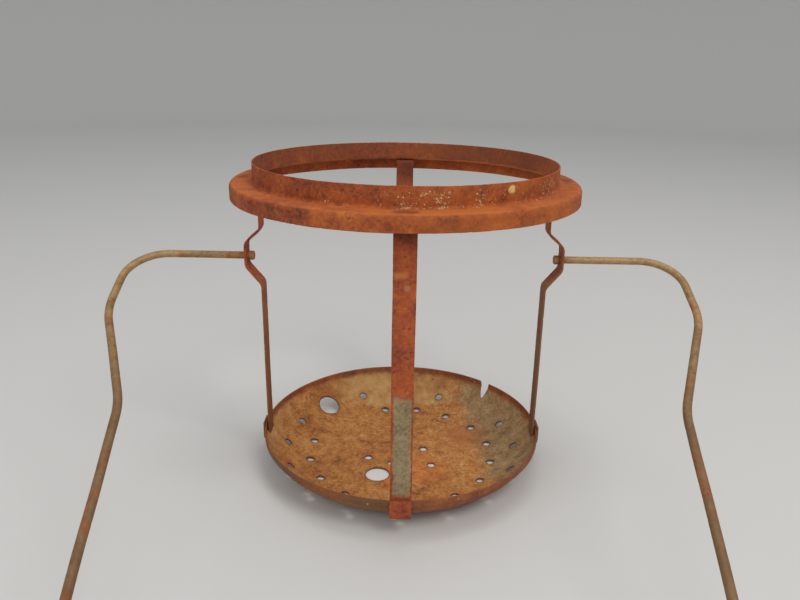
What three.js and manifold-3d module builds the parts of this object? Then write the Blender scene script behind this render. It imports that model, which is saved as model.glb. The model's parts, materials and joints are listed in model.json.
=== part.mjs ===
// Camp stove with a swinging bail: a perforated fuel pan hangs on four straps under a pressed pot ring.
// Millimetres, +Z up. The origin is the middle of the pan's underside, which stands on the ground.
// The bail's pivots are at +X and -X, and the bail lies down to the front, at -Y.

import * as THREE from 'three';
import { mergeVertices } from 'three/addons/utils/BufferGeometryUtils.js';
import Module from 'manifold-3d';

const { sin, cos, tan, asin, atan2, hypot, sqrt, ceil, round, min, max, PI } = Math;
const degree = PI / 180;

// Fits
const seatGap = 0.3; // left between two pieces that touch
const pivotClearance = 0.4; // round the bail wire in its strap hole

// Pan and ring share one outside radius, so the straps between them hang plumb
const rimRadius = 94.2;

// Fuel pan: one dished sheet, with an upright band round its rim
const panSheet = 0.9;
const panDepth = 25;
const panFloorRadius = 57;
const bandHeight = 4;
const ventsPerRow = 16;
const ventDiameter = 5.2;
const upperVentInset = 14.2; // from the rim to the upper row
const lowerVentOutset = 7; // from the flat floor to the lower row
const largeVentDiameter = 16;
const largeWallVent = 6; // place in the upper row that the large vent takes
const burntVent = 2; // place in the upper row where the vent has burnt out through the rim
const burntEdge = [ // the ragged edge left there, each [along the rim, below the rim]
  [-0.6, 11.2], [0.6, 9.5], [2.3, 7], [3.2, 4], [4, -1],
  [-4.3, -1], [-3.6, 2.5], [-3.3, 5.5], [-2.9, 8.5], [-2.3, 11],
];
const floorLargeVent = { radius: 33, angle: -118 };
const floorVents = [
  { radius: 17, angle: 15 },
  { radius: 27, angle: -38 },
  { radius: 24, angle: -160 },
  { radius: 16, angle: -112 },
];

// Pot ring: one pressed sheet, with a collar that stands up inside a flange and a skirt that turns down
const ringSheet = 1.1;
const flangeHeight = 196; // top of the flange above the ground
const flangeWidth = 13.8; // from the collar to the outside of the skirt
const collarHeight = 11.5;
const skirtHeight = 9.5;
const ringBend = 2;

// Straps: flat strip, with a foot under the flange and an end clinched round the pan's band
const strapWidth = 12.7;
const strapSheet = 1.5;
const strapBend = 2.2;
const footInset = 2.6; // from the inside of the skirt to the end of the foot
const clinchDrop = 12.5; // from the pan's rim to the bottom of the clinched end

// Jog in each side strap, which carries the bail
const pivotHeight = 144.7;
const jogOffset = 10;
const jogAbove = 9.3;
const jogBelow = 6.1;
const jogRampAbove = 8.5;
const jogRampBelow = 12.3;
const jogBend = 6;

// Bail: one round wire, from head to head
const wireDiameter = 4.76;
const headDiameter = 6;
const headLength = 4;
const shoulderHalfWidth = 176; // centre of the stove to the wire, outside the shoulders
const shoulderBend = 24;
const shoulderReach = 53; // from the pivot to the first kink
const waistHalfWidth = 148;
const waistReach = 123; // from the pivot to the second kink
const legLean = 4.9 * degree; // of the legs past the second kink, towards each other
const kinkBend = 60;
const bailReach = 350; // from the pivot to the middle of the arch

// Facets
const turns = 48;
const wireSides = 10;
const ventSides = 8;
const largeVentSides = 16;
const bendStep = 22.5 * degree;
const wireBendStep = 11.25 * degree;
const wallStep = 10 * degree;
const archStep = 9 * degree;

// Places that follow from the sizes
const wireRadius = wireDiameter / 2;
const flangeUnderside = flangeHeight - ringSheet;
const skirtRadius = rimRadius + flangeWidth;
const bandInside = (rimRadius - panSheet) * cos(PI / turns);
const strapOutside = sqrt(bandInside ** 2 - (strapWidth / 2) ** 2) - seatGap; // its edges meet the band
const strapRadius = strapOutside - strapSheet / 2;
const clinchRadius = rimRadius + seatGap + strapSheet / 2;
const bandFoot = panDepth - bandHeight;
const wallReach = rimRadius - panFloorRadius;
const wallArc = hypot(wallReach, bandFoot) ** 2 / (2 * bandFoot);
const wallEndAngle = atan2(wallReach, wallArc - bandFoot);
const insideArc = wallArc - panSheet;
const insideEndAngle = asin((wallReach - panSheet) / insideArc);
const insideBandFoot = wallArc - insideArc * cos(insideEndAngle);

const manifold = await Module();
manifold.setup();

// A closed three.js geometry as a solid that can be joined and cut
function solidFrom(geometry) {
  const bare = geometry.index ? geometry.toNonIndexed() : geometry.clone();
  bare.deleteAttribute('normal');
  bare.deleteAttribute('uv');
  const merged = mergeVertices(bare, 1e-4);
  return new manifold.Manifold(new manifold.Mesh({
    numProp: 3,
    vertProperties: new Float32Array(merged.attributes.position.array),
    triVerts: new Uint32Array(merged.index.array),
  }));
}

function namedMesh(name, solid, colour, roughness, metalness) {
  const { vertProperties, triVerts } = solid.getMesh();
  const geometry = new THREE.BufferGeometry();
  geometry.setAttribute('position', new THREE.BufferAttribute(vertProperties, 3));
  geometry.setIndex(new THREE.BufferAttribute(triVerts, 1));
  geometry.computeVertexNormals();
  const material = new THREE.MeshStandardMaterial({ color: colour, roughness, metalness });
  const mesh = new THREE.Mesh(geometry, material);
  mesh.name = name;
  return mesh;
}

// The corners of a path, each [x, y, bend radius], as points that go round each bend
function bentPath(corners, step = bendStep) {
  const points = [];
  corners.forEach(([x, y, radius = 0], i) => {
    const corner = new THREE.Vector2(x, y);
    if (i === 0 || i === corners.length - 1 || radius === 0) {
      points.push(corner);
      return;
    }
    const before = new THREE.Vector2(...corners[i - 1]).sub(corner).normalize();
    const after = new THREE.Vector2(...corners[i + 1]).sub(corner).normalize();
    const turn = PI - before.angleTo(after);
    const left = after.cross(before) > 0 ? 1 : -1;
    const centre = before.clone().add(after).setLength(radius / cos(turn / 2)).add(corner);
    const start = before.multiplyScalar(radius * tan(turn / 2)).add(corner).sub(centre);
    const steps = ceil(turn / step - 1e-6);
    for (let k = 0; k <= steps; k++) {
      points.push(start.clone().rotateAround(new THREE.Vector2(), left * turn * k / steps).add(centre));
    }
  });
  return points.filter((point, i) => i === 0 || point.distanceTo(points[i - 1]) > 1e-3);
}

// The outline of a sheet that follows a path with half its thickness on each side
function sheetOutline(path, thickness) {
  const direction = (i) => path[i + 1].clone().sub(path[i]).normalize();
  const side = (sign) => path.map((point, i) => {
    const into = direction(max(i - 1, 0));
    const out = direction(min(i, path.length - 2));
    const along = into.clone().add(out).normalize();
    const reach = thickness / 2 / along.dot(out); // longer where the sides meet at a mitre
    return new THREE.Vector2(-along.y, along.x).multiplyScalar(sign * reach).add(point);
  });
  return [...side(-1), ...side(1).reverse()];
}

// A profile of [radius, height] points turned about Z
function turned(profile) {
  const geometry = new THREE.LatheGeometry(profile, turns);
  return solidFrom(geometry.rotateX(PI / 2).rotateZ(-PI / 2));
}

// A round cutter along Z, whose flats clear the given radius
function roundCutter(radius, length, sides) {
  const outer = radius / cos(PI / sides);
  return new THREE.CylinderGeometry(outer, outer, length, sides).rotateX(PI / 2);
}

function potRing() {
  const collar = rimRadius - ringSheet / 2;
  const skirt = skirtRadius - ringSheet / 2;
  const level = flangeHeight - ringSheet / 2;
  const outline = sheetOutline(bentPath([
    [skirt, flangeHeight - skirtHeight],
    [skirt, level, ringBend],
    [collar, level, ringBend],
    [collar, flangeHeight + collarHeight],
  ]), ringSheet);
  return turned([...outline, outline[0]]);
}

// The height of the pan's underside at a distance from the middle
function undersideAt(radius) {
  return wallArc - sqrt(wallArc ** 2 - (radius - panFloorRadius) ** 2);
}

// A cutter square to the pan's wall, in the given place of the ring of vents
function wallCutter(radius, angle, diameter, sides) {
  const lean = asin((radius - panFloorRadius) / wallArc);
  return roundCutter(diameter / 2, 6 * panSheet, sides)
    .rotateY(-lean)
    .translate(radius, 0, undersideAt(radius) + panSheet / 2)
    .rotateZ(angle * degree);
}

// Where one vent has burnt out through the rim
function burntNotch(angle) {
  const corners = burntEdge.map(([along, below]) => new THREE.Vector2(along, panDepth - below));
  const depth = upperVentInset + 4;
  return new THREE.ExtrudeGeometry(new THREE.Shape(corners), { depth, bevelEnabled: false })
    .rotateX(PI / 2)
    .rotateZ(PI / 2)
    .translate(rimRadius - upperVentInset, 0, 0)
    .rotateZ(angle * degree);
}

function fuelPan() {
  const wallSteps = ceil(wallEndAngle / wallStep);
  const profile = [new THREE.Vector2(0, 0)];
  const wallPoint = (radius, swing) => new THREE.Vector2(
    panFloorRadius + radius * sin(swing),
    wallArc - radius * cos(swing),
  );
  for (let k = 0; k <= wallSteps; k++) {
    profile.push(wallPoint(wallArc, wallEndAngle * k / wallSteps));
  }
  profile.push(new THREE.Vector2(rimRadius, panDepth), new THREE.Vector2(rimRadius - panSheet, panDepth));
  for (let k = wallSteps; k >= 0; k--) {
    profile.push(wallPoint(insideArc, insideEndAngle * k / wallSteps));
  }
  profile.push(new THREE.Vector2(0, panSheet));

  const pitch = 360 / ventsPerRow;
  const upperRadius = rimRadius - upperVentInset;
  const lowerRadius = panFloorRadius + lowerVentOutset;
  const cutters = [];
  for (let place = 0; place < ventsPerRow; place++) {
    const isLarge = place === largeWallVent;
    const besideLarge = place === largeWallVent || place === largeWallVent - 1;
    const diameter = isLarge ? largeVentDiameter : ventDiameter;
    if (place !== burntVent) {
      cutters.push(wallCutter(upperRadius, place * pitch, diameter, isLarge ? largeVentSides : ventSides));
    }
    if (!besideLarge) {
      cutters.push(wallCutter(lowerRadius, (place + 0.5) * pitch, ventDiameter, ventSides));
    }
  }
  const floorCutter = (place, diameter, sides) => roundCutter(diameter / 2, 6 * panSheet, sides)
    .translate(place.radius, 0, 0)
    .rotateZ(place.angle * degree);
  floorVents.forEach((place) => cutters.push(floorCutter(place, ventDiameter, ventSides)));
  cutters.push(floorCutter(floorLargeVent, largeVentDiameter, largeVentSides));
  cutters.push(burntNotch(burntVent * pitch));

  // Each strap comes down inside the band and out through a slot below it
  const slotInside = strapRadius - strapSheet / 2 - seatGap;
  const slotReach = rimRadius - slotInside + 1;
  for (const angle of [0, 90, 180, 270]) {
    const slot = new THREE.BoxGeometry(slotReach, strapWidth + 2 * seatGap, insideBandFoot)
      .translate(slotInside + slotReach / 2, 0, insideBandFoot / 2)
      .rotateZ(angle * degree);
    cutters.push(slot);
  }
  return cutters.reduce((pan, cutter) => pan.subtract(solidFrom(cutter)), turned(profile));
}

// A strap as it stands at +X. Its jog, where it has one, sits between the foot and the clinched end
function strap(jog) {
  const footLevel = flangeUnderside - seatGap - strapSheet / 2;
  const clinchLevel = panDepth - clinchDrop + strapSheet / 2;
  const clinchBend = (clinchRadius - strapRadius) / 2;
  const outline = new THREE.Shape(sheetOutline(bentPath([
    [skirtRadius - ringSheet - footInset, footLevel],
    [strapRadius, footLevel, strapBend],
    ...jog,
    [strapRadius, clinchLevel, clinchBend],
    [clinchRadius, clinchLevel, clinchBend],
    [clinchRadius, panDepth],
  ]), strapSheet));
  const strip = new THREE.ExtrudeGeometry(outline, { depth: strapWidth, bevelEnabled: false });
  return solidFrom(strip.translate(0, 0, -strapWidth / 2).rotateX(PI / 2));
}

const jogRadius = strapRadius + jogOffset;

function sideStrap() {
  const plain = strap([
    [strapRadius, pivotHeight + jogAbove + jogRampAbove, jogBend],
    [jogRadius, pivotHeight + jogAbove, jogBend],
    [jogRadius, pivotHeight - jogBelow, jogBend],
    [strapRadius, pivotHeight - jogBelow - jogRampBelow, jogBend],
  ]);
  const hole = roundCutter(wireRadius + pivotClearance, 4 * strapSheet, 16)
    .rotateY(PI / 2)
    .translate(jogRadius, 0, pivotHeight);
  return plain.subtract(solidFrom(hole));
}

// A path that an extrusion follows point by point, so that straight runs take one step each
class WirePath extends THREE.Curve {
  constructor(points) {
    super();
    this.points = points;
  }

  index(u) {
    return round(u * (this.points.length - 1));
  }

  getPointAt(u) {
    return this.points[this.index(u)].clone();
  }

  getTangentAt(u) {
    const i = this.index(u);
    const here = this.points[i];
    const into = here.clone().sub(this.points[i - 1] ?? here).normalize();
    const out = (this.points[i + 1] ?? here).clone().sub(here).normalize();
    return into.add(out).normalize();
  }
}

// The bail in its own plane: X across the stove, -Y away from the pivot line
function bail() {
  const headInside = jogRadius - strapSheet / 2 - seatGap - headLength;
  const legDistance = waistHalfWidth * cos(legLean) + waistReach * sin(legLean);
  const archCentre = (bailReach - legDistance) / (1 - sin(legLean)); // the legs run straight into the arch
  const archRadius = bailReach - archCentre;
  const half = bentPath([
    [headInside, 0],
    [shoulderHalfWidth, 0, shoulderBend],
    [shoulderHalfWidth, shoulderReach, kinkBend],
    [waistHalfWidth, waistReach, kinkBend],
    [archRadius * cos(legLean), archCentre + archRadius * sin(legLean)],
  ], wireBendStep);
  const archSteps = ceil((PI - 2 * legLean) / archStep);
  const arch = [];
  for (let k = 1; k < archSteps; k++) {
    const swing = legLean + (PI - 2 * legLean) * k / archSteps;
    arch.push(new THREE.Vector2(archRadius * cos(swing), archCentre + archRadius * sin(swing)));
  }
  const mirrored = half.map((point) => new THREE.Vector2(-point.x, point.y)).reverse();
  const points = [...half, ...arch, ...mirrored].map((point) => new THREE.Vector3(point.x, -point.y, 0));

  const section = new THREE.Shape();
  for (let k = 0; k < wireSides; k++) {
    const corner = (k + 0.5) * 2 * PI / wireSides;
    section[k ? 'lineTo' : 'moveTo'](wireRadius * cos(corner), wireRadius * sin(corner));
  }
  const wire = solidFrom(new THREE.ExtrudeGeometry(section, {
    steps: points.length - 1,
    extrudePath: new WirePath(points),
  }));
  const upset = (sign) => solidFrom(
    new THREE.CylinderGeometry(headDiameter / 2, headDiameter / 2, headLength, 16)
      .rotateZ(PI / 2)
      .translate(sign * (headInside + headLength / 2), 0, 0),
  );
  return wire.add(upset(1)).add(upset(-1));
}

const stove = new THREE.Group();

stove.add(namedMesh('pot_ring', potRing(), 0x8a4426, 0.85, 0.3));
stove.add(namedMesh('fuel_pan', fuelPan(), 0xa8673c, 0.8, 0.35));

const strapColour = 0x87452a;
const frontStrap = namedMesh('front_strap', strap([]), strapColour, 0.85, 0.3);
frontStrap.rotation.z = -PI / 2;
const backStrap = namedMesh('back_strap', strap([]), strapColour, 0.85, 0.3);
backStrap.rotation.z = PI / 2;
const rightStrap = namedMesh('right_strap', sideStrap(), strapColour, 0.85, 0.3);
const leftStrap = namedMesh('left_strap', sideStrap(), strapColour, 0.85, 0.3);
leftStrap.rotation.z = PI;
stove.add(frontStrap, backStrap, rightStrap, leftStrap);

// The bail lies down to the front, with the middle of its arch on the ground
const pivotLine = new THREE.Group();
pivotLine.position.z = pivotHeight;
pivotLine.rotation.x = asin((pivotHeight - wireRadius) / bailReach);
pivotLine.add(namedMesh('bail_handle', bail(), 0x7d7460, 0.6, 0.6));
stove.add(pivotLine);

export default stove;
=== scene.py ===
import json
import math

import bmesh
import bpy
import numpy as np
from mathutils import Euler, Matrix, Vector


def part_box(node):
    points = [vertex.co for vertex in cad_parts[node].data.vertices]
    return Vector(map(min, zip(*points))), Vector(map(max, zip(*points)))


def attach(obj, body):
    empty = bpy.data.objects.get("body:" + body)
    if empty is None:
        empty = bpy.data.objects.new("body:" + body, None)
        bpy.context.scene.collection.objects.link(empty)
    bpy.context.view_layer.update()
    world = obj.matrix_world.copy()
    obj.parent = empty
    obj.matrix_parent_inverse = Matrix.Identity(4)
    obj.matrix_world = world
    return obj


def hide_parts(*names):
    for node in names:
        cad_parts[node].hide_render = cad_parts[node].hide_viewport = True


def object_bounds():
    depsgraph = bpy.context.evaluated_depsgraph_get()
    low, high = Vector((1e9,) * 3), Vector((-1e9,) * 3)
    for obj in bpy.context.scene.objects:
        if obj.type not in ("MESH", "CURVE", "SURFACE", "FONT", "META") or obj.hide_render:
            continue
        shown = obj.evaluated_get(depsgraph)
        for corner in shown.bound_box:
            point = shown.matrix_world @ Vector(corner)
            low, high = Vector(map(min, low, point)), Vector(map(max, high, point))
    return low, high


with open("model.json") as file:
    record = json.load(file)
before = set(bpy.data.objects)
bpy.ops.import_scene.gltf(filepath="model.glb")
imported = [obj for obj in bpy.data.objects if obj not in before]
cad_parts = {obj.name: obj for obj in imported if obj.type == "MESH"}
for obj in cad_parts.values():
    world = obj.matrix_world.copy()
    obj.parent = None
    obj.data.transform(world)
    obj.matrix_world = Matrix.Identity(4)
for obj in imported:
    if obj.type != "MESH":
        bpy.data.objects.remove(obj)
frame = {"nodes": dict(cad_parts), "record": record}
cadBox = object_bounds()
mm = 0.001
print("frame loaded:", len(frame["nodes"]), "solids")


class Wire:
    # one output socket, so that maths on it reads like maths
    def __init__(self, board, node, output=0):
        self.board, self.node = board, node
        self.socket = node.outputs[output] if len(node.outputs) else None

    def maths(self, operation, *values):
        return self.board.add("ShaderNodeMath", {"operation": operation}, dict(enumerate(values)))

    def other(self, output):
        return Wire(self.board, self.node, output)

    def __add__(self, value):
        return self.maths("ADD", self, value)

    def __radd__(self, value):
        return self.maths("ADD", value, self)

    def __sub__(self, value):
        return self.maths("SUBTRACT", self, value)

    def __rsub__(self, value):
        return self.maths("SUBTRACT", value, self)

    def __mul__(self, value):
        return self.maths("MULTIPLY", self, value)

    def __rmul__(self, value):
        return self.maths("MULTIPLY", value, self)

    def __truediv__(self, value):
        return self.maths("DIVIDE", self, value)

    def __rtruediv__(self, value):
        return self.maths("DIVIDE", value, self)

    def __neg__(self):
        return self.maths("MULTIPLY", self, -1)

    def __abs__(self):
        return self.maths("ABSOLUTE", self)

    def atMost(self, value):
        return self.maths("MINIMUM", self, value)


class Board:
    # a node tree that is filled one expression at a time
    def __init__(self, tree):
        self.tree = tree

    def add(self, kind, settings=None, inputs=None, output=0):
        node = self.tree.nodes.new(kind)
        for name, value in (settings or {}).items():
            if name == "stops":
                elements = node.color_ramp.elements
                while len(elements) < len(value):
                    elements.new(1)
                for element, (position, colour) in zip(elements, value):
                    element.position, element.color = position, (*colour, 1)
            else:
                setattr(node, name, value)
        for key, value in (inputs or {}).items():
            if isinstance(value, Wire):
                self.tree.links.new(value.socket, node.inputs[key])
            elif value is not None:
                node.inputs[key].default_value = (*value, 1) if key in (6, 7) else value
        return Wire(self, node, output)

    def vector(self, operation, first, second=None, scale=None, output=0):
        inputs = {0: first, 1: second}
        if scale is not None:
            inputs = {0: first, "Scale": scale}
        return self.add("ShaderNodeVectorMath", {"operation": operation}, inputs, output)

    def noise(self, place, size, detail=4, rough=0.55, bend=0.0, seed=0.0):
        # size is the width of one blotch, in millimetres
        return self.add("ShaderNodeTexNoise", {"noise_dimensions": "4D"}, {
            "Vector": place, "W": seed, "Scale": 1 / (size * mm),
            "Detail": detail, "Roughness": rough, "Distortion": bend})

    def rise(self, value, low, high):
        # 0 below low, 1 above high, smooth between
        return self.add("ShaderNodeMapRange", {"interpolation_type": "SMOOTHSTEP"}, {
            "Value": value, "From Min": low, "From Max": high})


def newTree(name, sizes):
    tree = bpy.data.node_groups.new(name, "GeometryNodeTree")
    tree.interface.new_socket("Geometry", in_out="INPUT", socket_type="NodeSocketGeometry")
    for label, kind in sizes.items():
        tree.interface.new_socket(label, in_out="INPUT", socket_type="NodeSocket" + kind)
    tree.interface.new_socket("Geometry", in_out="OUTPUT", socket_type="NodeSocketGeometry")
    board = Board(tree)
    entry = board.add("NodeGroupInput")
    return board, {"Geometry": entry, **{label: entry.other(label) for label in sizes}}


def closeTree(board, geometry, material):
    solid = board.add("GeometryNodeRealizeInstances", {}, {"Geometry": geometry})
    painted = board.add("GeometryNodeSetMaterial", {}, {"Geometry": solid, "Material": material})
    board.add("NodeGroupOutput", {}, {0: painted})
    return board.tree


def shift(board, geometry, offset):
    return board.add("GeometryNodeSetPosition", {}, {"Geometry": geometry, "Offset": offset})


weather = {"warpSize": 55, "scaleSize": 4.5, "pitSize": 2.6, "pitFrom": 0.56, "pitTo": 0.7}


def weathered(board, geometry, warp, scale, pits, seed):
    # a slow warp of the whole sheet, then rust scale and pits that only eat into it
    place = board.add("GeometryNodeInputPosition")
    normal = board.add("GeometryNodeInputNormal")
    slow = board.noise(place, weather["warpSize"], 1, 0.4, 0, seed).other("Color")
    centred = board.vector("SUBTRACT", slow, (0.5, 0.5, 0.5))
    geometry = shift(board, geometry, board.vector("SCALE", centred, scale=warp * (2 * mm)))
    scaled = board.noise(place, weather["scaleSize"], 3, 0.6, 0, seed + 3)
    pitted = board.noise(place, weather["pitSize"], 2, 0.5, 0, seed + 5)
    pitted = board.rise(pitted, weather["pitFrom"], weather["pitTo"])
    depth = (scaled * scale + pitted * pits) * -mm
    return shift(board, geometry, board.vector("SCALE", normal, scale=depth))


def newObject(name, data):
    piece = bpy.data.objects.new(name, data)
    bpy.context.collection.objects.link(piece)
    return piece


def fromWork(work, name):
    # an object from a bmesh, which is then let go
    mesh = bpy.data.meshes.new(name)
    work.to_mesh(mesh)
    work.free()
    return newObject(name, mesh)


def smoothed(mesh):
    mesh.polygons.foreach_set("use_smooth", [True] * len(mesh.polygons))


def roundedPath(board, geometry, count):
    # the source's edges as a curve, each corner rounded by its own bend
    path = board.add("GeometryNodeMeshToCurve", {}, {0: geometry})
    bend = board.add("GeometryNodeInputNamedAttribute", {"data_type": "FLOAT"}, {"Name": "bend"})
    return board.add("GeometryNodeFilletCurve", {"mode": "POLY"}, {
        "Curve": path, "Count": count, "Radius": bend, "Limit Radius": True})


def cut(board, body, cutter):
    return board.add("GeometryNodeMeshBoolean", {"operation": "DIFFERENCE", "solver": "MANIFOLD"}, {
        "Mesh 1": body, "Mesh 2": cutter})


def pathObject(name, points, closed=False):
    # points are [x, y, z, bend radius] in millimetres
    mesh = bpy.data.meshes.new(name)
    count = len(points)
    edges = [(i, i + 1) for i in range(count - 1)] + ([(count - 1, 0)] if closed else [])
    mesh.from_pydata([[c * mm for c in point[:3]] for point in points], edges, [])
    bend = mesh.attributes.new("bend", "FLOAT", "POINT")
    bend.data.foreach_set("value", [point[3] * mm for point in points])
    return newObject(name, mesh)


def grow(tree, source, values, name):
    # runs a tree on source and gives the result as a plain object at the origin
    modifier = source.modifiers.new("grow", "NODES")
    modifier.node_group = tree
    for item in tree.interface.items_tree:
        if item.in_out == "INPUT" and item.name in values:
            modifier[item.identifier] = values[item.name]
    bpy.context.view_layer.update()
    graph = bpy.context.evaluated_depsgraph_get()
    mesh = bpy.data.meshes.new_from_object(
        source.evaluated_get(graph), preserve_all_data_layers=True, depsgraph=graph)
    mesh.name = name
    piece = newObject(name, mesh)
    source.modifiers.remove(modifier)
    return piece


def discard(*pieces):
    for piece in pieces:
        bpy.data.objects.remove(piece)


def vertexPlaces(mesh):
    places = np.empty(len(mesh.vertices) * 3, np.float32)
    mesh.vertices.foreach_get("co", places)
    return places.reshape(-1, 3)


def settle(piece, node, body, sharp=38):
    # tidies a finished piece, keeps it inside its solid's box and ties it to the frame
    mesh = piece.data
    work = bmesh.new()
    work.from_mesh(mesh)
    bmesh.ops.remove_doubles(work, verts=work.verts, dist=2e-6)
    if work.calc_volume(signed=True) < 0:
        bmesh.ops.reverse_faces(work, faces=work.faces)
    work.to_mesh(mesh)
    work.free()
    low, high = (np.array(corner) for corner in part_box(node))
    places = np.clip(vertexPlaces(mesh), low, high)
    mesh.vertices.foreach_set("co", places.ravel())
    smoothed(mesh)
    mesh.set_sharp_from_angle(angle=math.radians(sharp))
    mesh.update()
    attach(piece, body)
    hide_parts(node)
    return piece


layerSizes = {"mottle": 30, "patch": 8, "grain": 1.9, "speck": 0.6, "pits": 2.7}  # millimetres


class Finish(Board):
    def __init__(self, name):
        self.material = bpy.data.materials.new(name)
        self.material.use_nodes = True
        super().__init__(self.material.node_tree)
        self.tree.nodes.clear()
        self.place = self.add("ShaderNodeTexCoord", output="Object")
        split = self.add("ShaderNodeSeparateXYZ", {}, {0: self.place})
        self.x, self.y, self.z = (split.other(i) * 1000 for i in range(3))  # millimetres

    def spots(self, size, detail=4, rough=0.55, seed=0.0, bend=0.0):
        return self.noise(self.place, size, detail, rough, bend, seed)

    def mixed(self, amount, first, second):
        return self.add("ShaderNodeMix", {"data_type": "RGBA"}, {0: amount, 6: first, 7: second}, 2)

    def near(self, centre, radius, soft, ragged=0.0):
        # 1 within radius of a point in millimetres, fading over soft
        away = self.vector("DISTANCE", self.place, [c * mm for c in centre], output=1) * 1000
        if ragged:
            away = away + (self.spots(6, 4, 0.65, 21) - 0.5) * ragged
        return 1 - self.rise(away, radius, radius + soft)

    def ramp(self, colours, value, first, step):
        stops = [(first + step * i, colour) for i, colour in enumerate(colours)]
        return self.add("ShaderNodeValToRGB", {"stops": stops}, {0: value})

    def attribute(self, name):
        return self.add("ShaderNodeAttribute", {"attribute_name": name}, output=2)

    def rustLayers(self, tones, seed=0.0, contrast=1.0):
        # tones run from the darkest to the brightest rust
        mottle = self.spots(layerSizes["mottle"], 3, 0.5, seed)
        patch = self.spots(layerSizes["patch"], 4, 0.62, seed + 2)
        grain = self.spots(layerSizes["grain"], 4, 0.65, seed + 4)
        speck = self.spots(layerSizes["speck"], 2, 0.6, seed + 6)
        pits = self.rise(self.spots(layerSizes["pits"], 3, 0.55, seed + 8), 0.6, 0.7)
        tone = (mottle * 0.26 + patch * 0.3 + grain * 0.32 + speck * 0.12 - 0.5) * contrast + 0.5
        colour = self.ramp(tones, tone, 0.36, 0.28 / (len(tones) - 1))
        colour = self.mixed(pits * 0.6, colour, tones[0])
        height = patch * 0.16 + grain * 0.2 + speck * 0.07 - pits * 0.16
        return {"colour": colour, "height": height, "patch": patch, "grain": grain,
                "pits": pits, "mottle": mottle}

    def close(self, colour, roughness, metallic, height):
        # height is in millimetres
        bump = self.add("ShaderNodeBump", {}, {"Strength": 1.0, "Distance": mm, "Height": height})
        shader = self.add("ShaderNodeBsdfPrincipled", {}, {
            "Base Color": colour, "Roughness": roughness, "Metallic": metallic,
            "Normal": bump, "Specular IOR Level": 0.35})
        self.add("ShaderNodeOutputMaterial", {}, {0: shader})
        return self.material


ringPaint = {
    "tones": [(0.075, 0.02, 0.01), (0.2, 0.046, 0.018), (0.35, 0.078, 0.023),
              (0.46, 0.118, 0.026), (0.58, 0.19, 0.045)],
    "orange": (0.56, 0.15, 0.024),
    "crumbs": (0.74, 0.5, 0.24),
    "soot": (0.11, 0.034, 0.02),
    "yellow": (0.9, 0.62, 0.22),
    "yellowPlace": (55, -76.5, 203.4),
}


def ringFinish(paint):
    finish = Finish("rusted ring")
    rust = finish.rustLayers(paint["tones"])
    colour = rust["colour"]
    across = finish.vector("LENGTH", finish.vector("MULTIPLY", finish.place, (1, 1, 0)), output=1) * 1000
    # painted light and rust: the top face of the flange is mixed towards orange, a little everywhere as
    # if lit from above, more in warm rust blotches
    litFlangeTop = finish.rise(finish.z, 195, 195.8) * finish.rise(across, 94.6, 96)
    litFlangeTop = litFlangeTop * (1 - finish.rise(finish.z, 196.6, 198))
    warm = finish.rise(finish.spots(17, 4, 0.6, 31), 0.42, 0.6)
    litFromRight = finish.rise(finish.x, -60, 70)
    colour = finish.mixed(litFlangeTop * (warm * 0.45 + 0.25), colour, paint["orange"])
    # painted light and rust: the ring turns more orange towards the right, a little everywhere there as
    # if lit from the right, more in warm rust blotches
    colour = finish.mixed((warm * 0.3 + 0.12) * litFromRight, colour, paint["orange"])
    # pale crumbs of scale on the outside of the collar, thickest at the front and to the right
    collar = finish.rise(finish.z, 195.6, 196.8) * (1 - finish.rise(finish.z, 203, 206.5))
    collar = collar * (1 - finish.rise(across, 95.2, 97.5)) * finish.rise(across, 93.5, 93.9)
    front = 1 - finish.rise(finish.y, -70, -20)
    clumps = (finish.spots(9, 2, 0.5, 43) - 0.5) * 0.5
    crumbs = finish.rise(finish.spots(1.4, 3, 0.7, 41) + clumps, 0.55, 0.65)
    crumbs = crumbs * collar * front * finish.rise(finish.x, -45, 20)
    colour = finish.mixed(crumbs * 0.75, colour, paint["crumbs"])
    blob = finish.near(paint["yellowPlace"], 1.7, 1.1, 3.4)
    colour = finish.mixed(blob * 0.85, colour, paint["yellow"])
    sooty = (1 - finish.rise(across, 93.1, 93.5)) * finish.rise(rust["mottle"] + rust["patch"], 0.7, 1.1)
    colour = finish.mixed(sooty * 0.65, colour, paint["soot"])
    weld = finish.attribute("weldGap")
    scorch = (1 - finish.rise(weld, 2.0, 5.5)) * 0.45
    colour = finish.mixed(scorch, colour, paint["tones"][0])
    height = rust["height"] + crumbs * 0.25 + blob * 0.3
    return finish.close(colour, rust["grain"] * 0.25 + 0.72, 0.0, height)


panPaint = {
    "tones": [(0.15, 0.05, 0.018), (0.32, 0.115, 0.03), (0.45, 0.185, 0.046),
              (0.56, 0.26, 0.078), (0.66, 0.38, 0.15)],
    "fleck": (0.2, 0.052, 0.022),
    "pale": (0.72, 0.5, 0.27),
    "rim": [(0.09, 0.026, 0.014), (0.22, 0.062, 0.026), (0.36, 0.1, 0.036), (0.45, 0.15, 0.05)],
    "tan": [(0.34, 0.15, 0.045), (0.5, 0.28, 0.1), (0.6, 0.4, 0.165)],
    "orange": (0.64, 0.17, 0.04),
    "rust": (0.36, 0.11, 0.036),
    "bare": [(0.19, 0.125, 0.058), (0.3, 0.21, 0.1), (0.43, 0.32, 0.17)],
    "burnt": (0.07, 0.032, 0.018),
    "palePlace": (30, 52, 8),
    "orangePlace": (14, -22, 1),
    "glowPlace": (-6, -33, 1),
    "rustPlace": (47, 22, 6),
    "soot": (0.13, 0.085, 0.042),
}


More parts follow.
